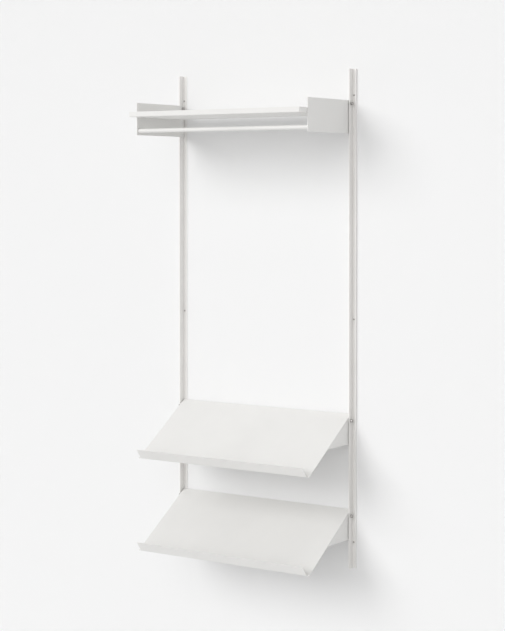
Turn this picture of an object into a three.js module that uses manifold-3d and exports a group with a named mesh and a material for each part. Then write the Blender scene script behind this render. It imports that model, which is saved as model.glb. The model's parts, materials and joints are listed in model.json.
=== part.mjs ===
// Wall mounted closet system: two wall rails that carry a hat shelf with a clothes rod and two shoe shelves.
// Millimetres. X runs along the wall, Y points into the wall, whose face is at 0, and Z points up.
// Heights are given above the rails' lower ends. The whole group is then lowered, so that the origin lies
// on the wall face of the left rail, on the middle line of its fin, level with its lowest wall screws.

import * as THREE from "three";
import { mergeVertices } from "three/addons/utils/BufferGeometryUtils.js";
import Module from "manifold-3d";

// Rails: an extruded T section with a return lip along its outer edge
const railSpacing = 808;
const railLength = 1900;
const railDepth = 27;
const finThickness = 3;
const wingReach = 18;
const wingThickness = 2;
const returnLipDepth = 8;
const returnLipThickness = 2;
const finRootRadius = 1.2;

// Wall screws: one in each wing of each rail, near both ends and at the middle
const wallScrewFromRailEnd = 100;
const wallScrewFromFinMiddle = 7;
const wallScrewHeadDiameter = 6.6;
const wallScrewHeadHeight = 2.4;
const wallScrewShankDiameter = 4;
const wallScrewRecessWidth = 0.9;
const wallScrewRecessReach = 3.4;
const wallScrewRecessDepth = 1.3;

// Bracket bolts: a knurled head outside the fin, a spacer inside it and a knurled nut behind the bracket
const boltBehindFinFront = 10;
const boltDiameter = 5;
const knobDiameter = 12;
const knobLength = 8;
const knobNutLength = 7;
const knobCollarDiameter = 9.6;
const knobCollarLength = 1.4;
const knurlDepth = 0.45;
const knurlCount = 16;
const boltEndBelowNut = 0.8;
const spacerDiameter = 10;

// Brackets
const bracketThickness = 3;
const bracketToFinGap = 2.5;
const bracketToWingGap = 4;
const bracketCornerRadius = 1.5;
const heelHeight = 18;

// Hat shelf and its two brackets
const hatBracketReach = 305;
const hatBracketBelowRailTop = 119;
const hatBracketHeight = 126;
const hatBoltBelowTop = 13;
const traySheet = 1.5;
const trayLipHeight = 20;
const trayFromWall = 34;
const trayOverhang = 51;
const trayAboveBracketBottom = 69;
const trayBendRadius = 2.5;
const trayStudPlacesShare = { rear: 0.14, front: 0.72 };

// Clothes rod: a tube that is slipped over a spigot at each end and can turn there
const rodDiameter = 16;
const rodWall = 1.5;
const rodBehindBracketFront = 12;
const rodAboveBracketBottom = 17;
const spigotLength = 20;
const spigotChamfer = 1;

// Shoe shelves: a folded sheet that slopes down to a lip, on a triangular bracket at each end
const shoeShelfUpperBack = 590;
const shoeShelfLowerBack = 226;
const shoeShelfFromWall = 5;
const shoeShelfSlopeDegrees = 34.5;
const shoeShelfLength = 356;
const shoeSheet = 2;
const shoeLipHeight = 46;
const shoeLipInset = 11;
const shoeBendRadius = 3;
const shoeReliefWidth = 5;
const shoeReliefDepth = 3;
const shoeBracketDrop = 115;
const shoeBoltBelowBack = 25;
const shoeHeelHeight = 14;
const shoeFlangeWidth = 26;
const shoeFlangeStart = 30;
const shoeFlangeLength = 150;
const shoeStudFromEdge = 17;
const shoeStudPlacesShare = { rear: 0.12, front: 0.88 };

// Weld studs and the hexagon nuts on them
const studDiameter = 4;
const studBeyondNut = 0.8;
const nutAcrossFlats = 7;
const nutHeight = 3.2;

// Fits and mesh fineness
const seatGap = 0.3;
const holeClearance = 0.6;
const rodEndClearance = 0.6;
const cutOverrun = 2;
const roundSegments = 16;
const smallRoundSegments = 12;
const rodSegments = 32;
const cornerSegments = 3;
const weldTolerance = 1e-4;

// Places worked out from the sizes above
const railPlaces = { left: 0, right: railSpacing };
const inward = { left: 1, right: -1 };
const finFace = finThickness / 2;
const wallScrewRows = {
  bottom: wallScrewFromRailEnd,
  middle: railLength / 2,
  top: railLength - wallScrewFromRailEnd,
};
const bracketOuterFace = finFace + bracketToFinGap;
const bracketInnerFace = bracketOuterFace + bracketThickness;
const bracketBack = -(wingThickness + bracketToWingGap);
const heelBack = -(wingThickness + seatGap);
const boltY = -(railDepth - boltBehindFinFront);
const hatBracketTop = railLength - hatBracketBelowRailTop;
const hatBracketBottom = hatBracketTop - hatBracketHeight;
const trayBottom = hatBracketBottom + trayAboveBracketBottom;
const trayFront = -(hatBracketReach + trayOverhang);
const trayLeft = bracketInnerFace + seatGap;
const trayRight = railSpacing - trayLeft;
const trayNutSeat = trayLeft + traySheet + seatGap;
const rodY = -(hatBracketReach - rodBehindBracketFront);
const rodZ = hatBracketBottom + rodAboveBracketBottom;
const shoeShelfBacks = { upper: shoeShelfUpperBack, lower: shoeShelfLowerBack };
const shoeShelfSlope = THREE.MathUtils.degToRad(shoeShelfSlopeDegrees);
const shoeFlangeTop = -(shoeSheet + seatGap);
const shoeFlangeBottom = shoeFlangeTop - bracketThickness;
const shoeNutBottom = shoeFlangeBottom - seatGap - nutHeight;
const holeRadius = (boltDiameter + holeClearance) / 2;
const studHoleRadius = (studDiameter + holeClearance) / 2;

const powderCoat = new THREE.MeshStandardMaterial({ color: 0xebe9e6, roughness: 0.55, metalness: 0 });
const railCoat = new THREE.MeshStandardMaterial({ color: 0xeeebe7, roughness: 0.55, metalness: 0 });
const darkSteel = new THREE.MeshStandardMaterial({ color: 0x918d89, roughness: 0.4, metalness: 0.8 });
const zincSteel = new THREE.MeshStandardMaterial({ color: 0xa9abad, roughness: 0.35, metalness: 0.9 });

const wasm = await Module();
wasm.setup();

// Solids and geometries

function solidOf(geometry) {
  const bare = geometry.clone();
  bare.deleteAttribute("normal");
  bare.deleteAttribute("uv");
  const merged = mergeVertices(bare, weldTolerance);
  const vertProperties = new Float32Array(merged.attributes.position.array);
  const triVerts = new Uint32Array(merged.index.array);
  return new wasm.Manifold(new wasm.Mesh({ numProp: 3, vertProperties, triVerts }));
}

function geometryOf(solid) {
  const mesh = solid.getMesh();
  const geometry = new THREE.BufferGeometry();
  geometry.setAttribute("position", new THREE.BufferAttribute(mesh.vertProperties, 3));
  geometry.setIndex(new THREE.BufferAttribute(mesh.triVerts, 1));
  geometry.computeVertexNormals();
  return geometry;
}

function joined(...solids) {
  return solids.reduce((whole, solid) => whole.add(solid));
}

function cutAway(body, ...cutters) {
  return cutters.reduce((rest, cutter) => rest.subtract(cutter), body);
}

// An outline of [across, up, corner radius] points, with each corner rounded by its radius
function roundedOutline(points) {
  const shape = new THREE.Shape();
  points.forEach(([across, up, radius], index) => {
    const corner = new THREE.Vector2(across, up);
    const [lastAcross, lastUp] = points[(index + points.length - 1) % points.length];
    const [nextAcross, nextUp] = points[(index + 1) % points.length];
    const towardLast = new THREE.Vector2(lastAcross, lastUp).sub(corner).normalize();
    const towardNext = new THREE.Vector2(nextAcross, nextUp).sub(corner).normalize();
    const arcStart = corner.clone().addScaledVector(towardLast, radius);
    const arcEnd = corner.clone().addScaledVector(towardNext, radius);
    if (index === 0) {
      shape.moveTo(arcStart.x, arcStart.y);
    } else {
      shape.lineTo(arcStart.x, arcStart.y);
    }
    if (radius > 0) {
      shape.quadraticCurveTo(corner.x, corner.y, arcEnd.x, arcEnd.y);
    }
  });
  return shape;
}

function extruded(shape, length) {
  const settings = { depth: length, bevelEnabled: false, curveSegments: cornerSegments };
  return new THREE.ExtrudeGeometry(shape, settings);
}

// A prism along X between two faces, from an outline drawn in Y and Z
function prismAlongX(shape, startX, endX) {
  const turn = new THREE.Matrix4().makeBasis(
    new THREE.Vector3(0, 1, 0), new THREE.Vector3(0, 0, 1), new THREE.Vector3(1, 0, 0));
  return extruded(shape, endX - startX).applyMatrix4(turn).translate(startX, 0, 0);
}

function boxBetween(low, high) {
  const size = high.map((value, axis) => value - low[axis]);
  const middle = high.map((value, axis) => (value + low[axis]) / 2);
  return new THREE.BoxGeometry(...size).translate(...middle);
}

function roundAlongX(radius, startX, endX, y, z, segments = smallRoundSegments) {
  return new THREE.CylinderGeometry(radius, radius, endX - startX, segments)
    .rotateZ(-Math.PI / 2)
    .translate((startX + endX) / 2, y, z);
}

function roundAlongY(radius, startY, endY, x, z, segments = smallRoundSegments) {
  return new THREE.CylinderGeometry(radius, radius, endY - startY, segments)
    .translate(x, (startY + endY) / 2, z);
}

function roundAlongZ(radius, startZ, endZ, x, y, segments = smallRoundSegments) {
  return new THREE.CylinderGeometry(radius, radius, endZ - startZ, segments)
    .rotateX(Math.PI / 2)
    .translate(x, y, (startZ + endZ) / 2);
}

// The X place that lies a given distance inward of a rail's middle line
function inwardOf(side, distance) {
  return railPlaces[side] + inward[side] * distance;
}

// The two X faces of a piece that spans two such distances, the lower one first
function spanInward(side, near, far) {
  return [inwardOf(side, near), inwardOf(side, far)].sort((a, b) => a - b);
}

function place(group, name, geometry, material, x = 0, y = 0, z = 0) {
  const mesh = new THREE.Mesh(geometry, material);
  mesh.name = name;
  mesh.position.set(x, y, z);
  group.add(mesh);
  return mesh;
}

// Rails

function railSection(side) {
  const outward = -inward[side];
  return roundedOutline([
    [-outward * wingReach, 0, 0],
    [outward * wingReach, 0, 0],
    [outward * wingReach, -returnLipDepth, 0],
    [outward * (wingReach - returnLipThickness), -returnLipDepth, 0],
    [outward * (wingReach - returnLipThickness), -wingThickness, 0],
    [outward * finFace, -wingThickness, finRootRadius],
    [outward * finFace, -railDepth, 0],
    [-outward * finFace, -railDepth, 0],
    [-outward * finFace, -wingThickness, finRootRadius],
    [-outward * wingReach, -wingThickness, 0],
  ]);
}

function boltHeights() {
  const hatBolt = hatBracketTop - hatBoltBelowTop;
  const shoeBolts = Object.values(shoeShelfBacks).map((back) => back - shoeBoltBelowBack);
  return [hatBolt, ...shoeBolts];
}

function railGeometry(side) {
  const bar = solidOf(extruded(railSection(side), railLength));
  const screwHoleRadius = (wallScrewShankDiameter + holeClearance) / 2;
  const screwHoles = Object.values(wallScrewRows).flatMap((height) => [-1, 1].map((wing) => {
    const x = wing * wallScrewFromFinMiddle;
    return solidOf(roundAlongY(screwHoleRadius, -(wingThickness + cutOverrun), cutOverrun, x, height));
  }));
  const boltHoles = boltHeights().map((height) => {
    const reach = finFace + cutOverrun;
    return solidOf(roundAlongX(holeRadius, -reach, reach, boltY, height));
  });
  return geometryOf(cutAway(bar, ...screwHoles, ...boltHoles));
}

// A pan head with a cross recess, facing away from the wall, and a shank that ends level with the wall face
function wallScrewGeometry() {
  const headBack = -(wingThickness + seatGap);
  const headFront = headBack - wallScrewHeadHeight;
  const headRadius = wallScrewHeadDiameter / 2;
  const rimShare = 0.55;
  const crownShare = 0.62;
  const shankRadius = wallScrewShankDiameter / 2;
  const profile = [
    [0, -headFront],
    [headRadius * crownShare, -headFront],
    [headRadius, -(headBack - wallScrewHeadHeight * rimShare)],
    [headRadius, -headBack],
    [shankRadius, -headBack],
    [shankRadius, 0],
    [0, 0],
  ].reverse().map(([radius, along]) => new THREE.Vector2(radius, along));
  const body = solidOf(new THREE.LatheGeometry(profile, smallRoundSegments).rotateX(Math.PI));
  const half = wallScrewRecessWidth / 2;
  const reach = wallScrewRecessReach / 2;
  const floor = headFront + wallScrewRecessDepth;
  const slotAcross = solidOf(boxBetween([-reach, headFront - cutOverrun, -half], [reach, floor, half]));
  const slotUp = solidOf(boxBetween([-half, headFront - cutOverrun, -reach], [half, floor, reach]));
  return geometryOf(cutAway(body, slotAcross, slotUp));
}

function addRails(closet) {
  const screw = wallScrewGeometry();
  for (const [side, x] of Object.entries(railPlaces)) {
    place(closet, `${side}_rail`, railGeometry(side), railCoat, x);
    for (const [row, height] of Object.entries(wallScrewRows)) {
      for (const [wing, direction] of [["inner", 1], ["outer", -1]]) {
        const screwX = inwardOf(side, direction * wallScrewFromFinMiddle);
        place(closet, `${side}_${row}_${wing}_wall_screw`, screw, darkSteel, screwX, 0, height);
      }
    }
  }
}

// Bracket bolts

// A round grip with straight knurls, from its seat at X = 0 to the given length
function knurledGrip(length) {
  const shape = new THREE.Shape();
  const tips = Array.from({ length: 2 * knurlCount }, (_, index) => {
    const angle = (index * Math.PI) / knurlCount;
    const radius = knobDiameter / 2 - (index % 2) * knurlDepth;
    return new THREE.Vector2(radius * Math.cos(angle), radius * Math.sin(angle));
  });
  shape.setFromPoints(tips);
  return solidOf(prismAlongX(shape, knobCollarLength, length));
}

function collar() {
  return solidOf(roundAlongX(knobCollarDiameter / 2, 0, knobCollarLength, 0, 0, roundSegments));
}

// The head's seat is at X = 0, the head lies on the X side and the shank on the other
function thumbBoltGeometry() {
  const clampedStack = finThickness + bracketToFinGap + bracketThickness + 2 * seatGap;
  const shankEnd = clampedStack + knobNutLength - boltEndBelowNut;
  const shank = solidOf(roundAlongX(boltDiameter / 2, -shankEnd, knobCollarLength, 0, 0));
  return geometryOf(joined(knurledGrip(knobLength), collar(), shank));
}

function thumbNutGeometry() {
  const bore = solidOf(roundAlongX(holeRadius, -cutOverrun, knobNutLength + cutOverrun, 0, 0));
  return geometryOf(cutAway(joined(knurledGrip(knobNutLength), collar()), bore));
}

function spacerGeometry() {
  const length = bracketToFinGap - 2 * seatGap;
  const ring = solidOf(roundAlongX(spacerDiameter / 2, -length / 2, length / 2, 0, 0, roundSegments));
  const bore = solidOf(roundAlongX(holeRadius, -length, length, 0, 0));
  return geometryOf(cutAway(ring, bore));
}

function addBracketBolts(closet) {
  const bolt = thumbBoltGeometry();
  const nut = thumbNutGeometry();
  const spacer = spacerGeometry();
  const levels = ["hat", "upper_shoe", "lower_shoe"];
  for (const side of Object.keys(railPlaces)) {
    boltHeights().forEach((height, index) => {
      const level = levels[index];
      const towardInside = side === "left" ? 0 : Math.PI;
      const headX = inwardOf(side, -(finFace + seatGap));
      const head = place(closet, `${side}_${level}_thumb_bolt`, bolt, darkSteel, headX, boltY, height);
      head.rotation.z = Math.PI - towardInside;
      const nutX = inwardOf(side, bracketInnerFace + seatGap);
      const grip = place(closet, `${side}_${level}_thumb_nut`, nut, darkSteel, nutX, boltY, height);
      grip.rotation.z = towardInside;
      const spacerX = inwardOf(side, finFace + bracketToFinGap / 2);
      place(closet, `${side}_${level}_spacer`, spacer, darkSteel, spacerX, boltY, height);
    });
  }
}

// Hat shelf

function hatBracketGeometry(side) {
  const heelTop = hatBracketBottom + heelHeight;
  const outline = roundedOutline([
    [-hatBracketReach, hatBracketBottom, bracketCornerRadius],
    [heelBack, hatBracketBottom, bracketCornerRadius],
    [heelBack, heelTop, bracketCornerRadius],
    [bracketBack, heelTop, 0],
    [bracketBack, hatBracketTop, bracketCornerRadius],
    [-hatBracketReach, hatBracketTop, bracketCornerRadius],
  ]);
  const [startX, endX] = spanInward(side, bracketOuterFace, bracketInnerFace);
  const plate = solidOf(prismAlongX(outline, startX, endX));
  const boltHeight = hatBracketTop - hatBoltBelowTop;
  const hole = solidOf(roundAlongX(holeRadius, startX - cutOverrun, endX + cutOverrun, boltY, boltHeight));
  const studRoot = bracketInnerFace - bracketThickness / 2;
  const studTip = trayNutSeat + nutHeight + studBeyondNut;
  const [studStart, studEnd] = spanInward(side, studRoot, studTip);
  const studs = Object.values(trayStudPlacesShare).map((share) => (
    solidOf(roundAlongX(studDiameter / 2, studStart, studEnd, trayPlaceY(share), trayStudZ()))
  ));
  return geometryOf(joined(cutAway(plate, hole), ...studs));
}

function trayPlaceY(share) {
  return -trayFromWall + (trayFront + trayFromWall) * share;
}

function trayStudZ() {
  return trayBottom + (traySheet + trayLipHeight) / 2;
}

// A shallow tray folded up on all four sides, open at the top
function trayGeometry() {
  const rear = -trayFromWall;
  const top = trayBottom + trayLipHeight;
  const innerRadius = trayBendRadius - traySheet;
  const outer = prismAlongX(roundedOutline([
    [trayFront, top, 0],
    [trayFront, trayBottom, trayBendRadius],
    [rear, trayBottom, trayBendRadius],
    [rear, top, 0],
  ]), trayLeft, trayRight);
  const inner = prismAlongX(roundedOutline([
    [trayFront + traySheet, top + cutOverrun, 0],
    [trayFront + traySheet, trayBottom + traySheet, innerRadius],
    [rear - traySheet, trayBottom + traySheet, innerRadius],
    [rear - traySheet, top + cutOverrun, 0],
  ]), trayLeft + traySheet, trayRight - traySheet);
  const studHoles = Object.values(trayStudPlacesShare).flatMap((share) => [trayLeft, trayRight].map((x) => (
    solidOf(roundAlongX(studHoleRadius, x - cutOverrun, x + cutOverrun, trayPlaceY(share), trayStudZ()))
  )));
  return geometryOf(cutAway(solidOf(outer), solidOf(inner), ...studHoles));
}

// A hexagon nut on its side, with its seat at Z = 0 and its bore along Z
function hexNutGeometry() {
  const sides = 6;
  const cornerRadius = nutAcrossFlats / 2 / Math.cos(Math.PI / sides);
  const body = solidOf(roundAlongZ(cornerRadius, 0, nutHeight, 0, 0, sides));
  const bore = solidOf(roundAlongZ(studHoleRadius, -cutOverrun, nutHeight + cutOverrun, 0, 0));
  return geometryOf(cutAway(body, bore));
}

function addHatShelf(closet) {
  place(closet, "hat_shelf_tray", trayGeometry(), powderCoat);
  const nut = hexNutGeometry();
  for (const side of Object.keys(railPlaces)) {
    place(closet, `${side}_hat_bracket`, hatBracketGeometry(side), powderCoat);
    for (const [row, share] of Object.entries(trayStudPlacesShare)) {
      const x = inwardOf(side, trayNutSeat);
      const name = `${side}_${row}_tray_nut`;
      const piece = place(closet, name, nut, zincSteel, x, trayPlaceY(share), trayStudZ());
      piece.rotation.y = (inward[side] * Math.PI) / 2;
    }
  }
}

// Clothes rod

function addClothesRod(closet) {
  const endPlace = bracketInnerFace + rodEndClearance;
  const rodEnds = [endPlace, railSpacing - endPlace];
  const tube = solidOf(roundAlongX(rodDiameter / 2, ...rodEnds, 0, 0, rodSegments));
  const boreRadius = rodDiameter / 2 - rodWall;
  const bore = solidOf(roundAlongX(boreRadius, -cutOverrun, railSpacing + cutOverrun, 0, 0, rodSegments));
  place(closet, "clothes_rod", geometryOf(cutAway(tube, bore)), powderCoat, 0, rodY, rodZ);

  const spigotRadius = boreRadius - seatGap;
  const profile = [
    [0, 0],
    [spigotRadius, 0],
    [spigotRadius, spigotLength - spigotChamfer],
    [spigotRadius - spigotChamfer, spigotLength],
    [0, spigotLength],
  ].map(([radius, along]) => new THREE.Vector2(radius, along));
  const spigot = new THREE.LatheGeometry(profile, rodSegments);
  for (const side of Object.keys(railPlaces)) {
    const x = inwardOf(side, bracketInnerFace + seatGap);
    const piece = place(closet, `${side}_rod_spigot`, spigot, zincSteel, x, rodY, rodZ);
    piece.rotation.z = (-inward[side] * Math.PI) / 2;
  }
}

// Shoe shelves

// The sloping sheet in its own frame: the top back edge is the origin, the sheet runs along -Y
function shoeShelfGeometry() {
  const start = bracketOuterFace;
  const end = railSpacing - bracketOuterFace;
  const lipTop = shoeLipHeight - shoeSheet;
  const innerRadius = shoeBendRadius - shoeSheet;
  const folded = solidOf(prismAlongX(roundedOutline([
    [0, -shoeSheet, 0],
    [0, 0, 0],
    [-(shoeShelfLength - shoeSheet), 0, innerRadius],
    [-(shoeShelfLength - shoeSheet), lipTop, 0],
    [-shoeShelfLength, lipTop, 0],
    [-shoeShelfLength, -shoeSheet, shoeBendRadius],
  ]), start, end));
  const lipBack = -(shoeShelfLength - shoeSheet - innerRadius);
  const lipEnds = [[start - cutOverrun, start + shoeLipInset], [end - shoeLipInset, end + cutOverrun]];
  const endCuts = lipEnds.map(([low, high]) => solidOf(boxBetween(
    [low, -(shoeShelfLength + cutOverrun), 0], [high, lipBack, shoeLipHeight])));
  const reliefSpans = [
    [start + shoeLipInset - shoeReliefWidth, start + shoeLipInset],
    [end - shoeLipInset, end - shoeLipInset + shoeReliefWidth],
  ];
  const reliefs = reliefSpans.map(([low, high]) => solidOf(boxBetween(
    [low, -(shoeShelfLength + cutOverrun), -(shoeSheet + cutOverrun)],
    [high, lipBack + shoeReliefDepth, cutOverrun])));
  const studTip = shoeNutBottom - studBeyondNut;
  const studs = shoeStudSpots().map(([x, y]) => solidOf(
    roundAlongZ(studDiameter / 2, studTip, -shoeSheet / 2, x, y)));
  return geometryOf(joined(cutAway(folded, ...endCuts, ...reliefs), ...studs));
}

// The [X, Y] spots of the four weld studs under a sheet, in the sheet's frame
function shoeStudSpots() {
  return Object.keys(railPlaces).flatMap((side) => Object.values(shoeStudPlacesShare).map((share) => (
    [inwardOf(side, bracketOuterFace + shoeStudFromEdge), -(shoeFlangeStart + shoeFlangeLength * share)]
  )));
}

// A triangular plate below a sheet's end, with a flange along its sloping edge for the sheet's studs.
// Its heights are taken from the sheet's top back edge.
function shoeBracketGeometry(side) {
  const [startX, endX] = spanInward(side, bracketOuterFace, bracketInnerFace);
  const bottom = -shoeBracketDrop;
  const heelTop = bottom + shoeHeelHeight;
  const top = shoeFlangeTop / Math.cos(shoeShelfSlope);
  const tipY = -shoeShelfFromWall - (top - bottom) / Math.tan(shoeShelfSlope);
  const cornerTop = top - (-bracketBack - shoeShelfFromWall) * Math.tan(shoeShelfSlope);
  const plate = solidOf(prismAlongX(roundedOutline([
    [tipY, bottom, bracketCornerRadius],
    [heelBack, bottom, bracketCornerRadius],
    [heelBack, heelTop, bracketCornerRadius],
    [bracketBack, heelTop, 0],
    [bracketBack, cornerTop, bracketCornerRadius],
  ]), startX, endX));

  const toSlope = new THREE.Matrix4().makeRotationX(shoeShelfSlope).setPosition(0, -shoeShelfFromWall, 0);
  const [flangeStartX, flangeEndX] = spanInward(
    side, bracketOuterFace + bracketThickness / 2, bracketOuterFace + shoeFlangeWidth);
  const flange = solidOf(boxBetween(
    [flangeStartX, -(shoeFlangeStart + shoeFlangeLength), shoeFlangeBottom],
    [flangeEndX, -shoeFlangeStart, shoeFlangeTop]).applyMatrix4(toSlope));
  const holes = shoeStudSpots().map(([x, y]) => solidOf(
    roundAlongZ(studHoleRadius, shoeFlangeBottom - cutOverrun, shoeFlangeTop + cutOverrun, x, y)
      .applyMatrix4(toSlope)));
  const boltHole = solidOf(
    roundAlongX(holeRadius, startX - cutOverrun, endX + cutOverrun, boltY, -shoeBoltBelowBack));
  return geometryOf(cutAway(joined(plate, flange), ...holes, boltHole));
}

function addShoeShelves(closet) {
  const sheet = shoeShelfGeometry();
  const nut = hexNutGeometry();
  const spotNames = ["left_rear", "left_front", "right_rear", "right_front"];
  for (const [level, back] of Object.entries(shoeShelfBacks)) {
    const slope = new THREE.Group();
    slope.position.set(0, -shoeShelfFromWall, back);
    slope.rotation.x = shoeShelfSlope;
    closet.add(slope);
    place(slope, `${level}_shoe_shelf`, sheet, powderCoat);
    shoeStudSpots().forEach(([x, y], index) => {
      place(slope, `${level}_shoe_${spotNames[index]}_nut`, nut, zincSteel, x, y, shoeNutBottom);
    });
    for (const side of Object.keys(railPlaces)) {
      place(closet, `${side}_${level}_shoe_bracket`, shoeBracketGeometry(side), powderCoat, 0, 0, back);
    }
  }
}

const closet = new THREE.Group();
addRails(closet);
addBracketBolts(closet);
addHatShelf(closet);
addClothesRod(closet);
addShoeShelves(closet);
closet.position.z = -wallScrewRows.bottom;

export default closet;
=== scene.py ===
"""Finishes a wall mounted closet: two rails, a hat shelf with a clothes rod and two sloping shoe shelves.

X runs along the wall, Y points into the wall and Z points up, in metres. The wall face is at Y = 0.
The left half is modelled, and what the right half repeats is copied or mirrored.
"""

import json
import math

import bpy
from bpy.props import FloatProperty, FloatVectorProperty, IntProperty, PointerProperty
from bpy.types import Operator, Panel, PropertyGroup
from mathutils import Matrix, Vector


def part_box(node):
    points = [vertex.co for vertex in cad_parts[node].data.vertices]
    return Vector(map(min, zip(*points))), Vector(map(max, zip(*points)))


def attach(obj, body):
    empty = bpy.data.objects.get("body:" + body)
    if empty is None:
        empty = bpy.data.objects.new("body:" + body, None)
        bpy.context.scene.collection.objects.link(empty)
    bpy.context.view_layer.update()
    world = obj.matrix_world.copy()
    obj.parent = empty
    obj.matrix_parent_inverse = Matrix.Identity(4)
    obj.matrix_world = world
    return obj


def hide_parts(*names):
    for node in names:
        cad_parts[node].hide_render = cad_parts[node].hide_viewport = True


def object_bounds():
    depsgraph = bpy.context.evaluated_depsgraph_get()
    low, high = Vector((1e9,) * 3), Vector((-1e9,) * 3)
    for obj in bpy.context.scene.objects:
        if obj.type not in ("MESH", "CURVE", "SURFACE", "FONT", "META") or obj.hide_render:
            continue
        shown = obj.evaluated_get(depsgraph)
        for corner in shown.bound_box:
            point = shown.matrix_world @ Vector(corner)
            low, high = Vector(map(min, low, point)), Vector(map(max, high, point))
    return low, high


bl_info = {
    "name": "Wall Closet Finisher",
    "version": (1, 0, 0),
    "blender": (4, 5, 0),
    "location": "3D View > Sidebar > Closet",
    "description": "Models the sheet metal, rod, rails and fasteners of a wall closet and their finishes",
    "category": "Object",
}

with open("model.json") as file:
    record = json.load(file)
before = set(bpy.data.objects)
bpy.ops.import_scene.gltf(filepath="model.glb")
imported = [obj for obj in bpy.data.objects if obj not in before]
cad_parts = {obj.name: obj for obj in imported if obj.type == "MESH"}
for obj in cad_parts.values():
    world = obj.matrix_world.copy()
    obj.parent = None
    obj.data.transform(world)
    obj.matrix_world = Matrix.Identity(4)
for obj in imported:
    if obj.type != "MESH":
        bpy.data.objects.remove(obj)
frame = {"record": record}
cad_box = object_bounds()

MM = 0.001
SAME_POINT = MM / 1000
SIDES = ("left", "right")
SHOE_LEVELS = ("upper", "lower")
BOLT_LEVELS = ("hat", "upper_shoe", "lower_shoe")
NUT_ROWS = ("rear", "front")
QUARTER_TURN = math.pi / 2
SMOOTH_ANGLE = math.radians(40)
UNTURNED = (0, 0, 0)
TURN_TO_AXIS = {"X": (0, QUARTER_TURN, 0), "Y": (-QUARTER_TURN, 0, 0), "Z": UNTURNED}
SLOT_OF = {part["node"]: part["material_slot"] for part in frame["record"]["subparts"]}
BODY_OF = {
    node: body for body, nodes in frame["record"]["behaviour"]["bodies"].items() for node in nodes
}
MOUNTS = {mount["name"]: mount for mount in frame["record"]["mounts"]}

# A normal or edge counts as lying along an axis past this share of its length
ALIGNED = 0.9

# Sides of round pieces and holes, and segments of rounded edges
STUD_SIDES = 32
BORE_SIDES = 40
ROUND_SIDES = 48
SPIGOT_SIDES = 64
ROD_SIDES = 96
RIM_SEGMENTS = 2
CORNER_SEGMENTS = 5
BEND_SEGMENTS = 6

# Finishes: the range that holds most of a noise, the fine grain's share of the coat's height, how far
# specks deepen a tone, and how a noise is stretched into rings round X
WHITE = (1, 1, 1, 1)
NOISE_BULK = (0.3, 0.7)
GRAIN_SHARE = 0.35
SPECK_DEPTH = 0.35
RING_STRETCH = (1, 0.05, 0.05)
SOCKET_KINDS = {
    type(None): "NodeSocketVector", tuple: "NodeSocketColor", float: "NodeSocketFloat"}

# The stage, in metres. The wall stands a hair before the rails' wall faces, so that no slit shows
STAGE_SIZE = 24
LAMP_DISTANCE = 4
WALL_OVERLAP = 0.2 * MM


def number(name, description, default, **limits):
    """A number that a user can change."""
    return FloatProperty(name=name, description=description, default=default, **limits)


def length(name, description, millimetres):
    """A length that a user can change, written in millimetres here."""
    return number(
        name, description, millimetres * MM, min=0, unit="LENGTH", subtype="DISTANCE", precision=5)


def coordinate(name, description, default):
    """A place along an axis that a user can change, in metres."""
    return number(name, description, default, unit="LENGTH", precision=4)


def angle(name, description, degrees):
    """An angle that a user can change, written in degrees here."""
    return number(name, description, math.radians(degrees), subtype="ANGLE")


def colour(name, description, default):
    """A colour that a user can change, without its alpha."""
    return FloatVectorProperty(
        name=name, description=description, default=default, size=3, min=0, max=1, subtype="COLOR")


def way_to_light(name, description, default):
    """A direction that a user can change."""
    return FloatVectorProperty(name=name, description=description, default=default, subtype="XYZ")


class RailSizes(PropertyGroup):
    """Sizes of the rails' extruded section."""

    wing_thickness: length("Wing Thickness", "Thickness of the wings on the wall", 2)
    fin_thickness: length("Fin Thickness", "Thickness of the fin that points to the front", 3)
    lip_depth: length("Return Lip Depth", "Depth of the outer wing's return lip from the wall", 8)
    lip_thickness: length("Return Lip Thickness", "Thickness of the return lip", 2)
    root_radius: length("Root Radius", "Radius where the fin meets its wings", 1.2)
    edge_radius: length("Edge Radius", "Softness of the section's outer edges", 0.3)


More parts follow.
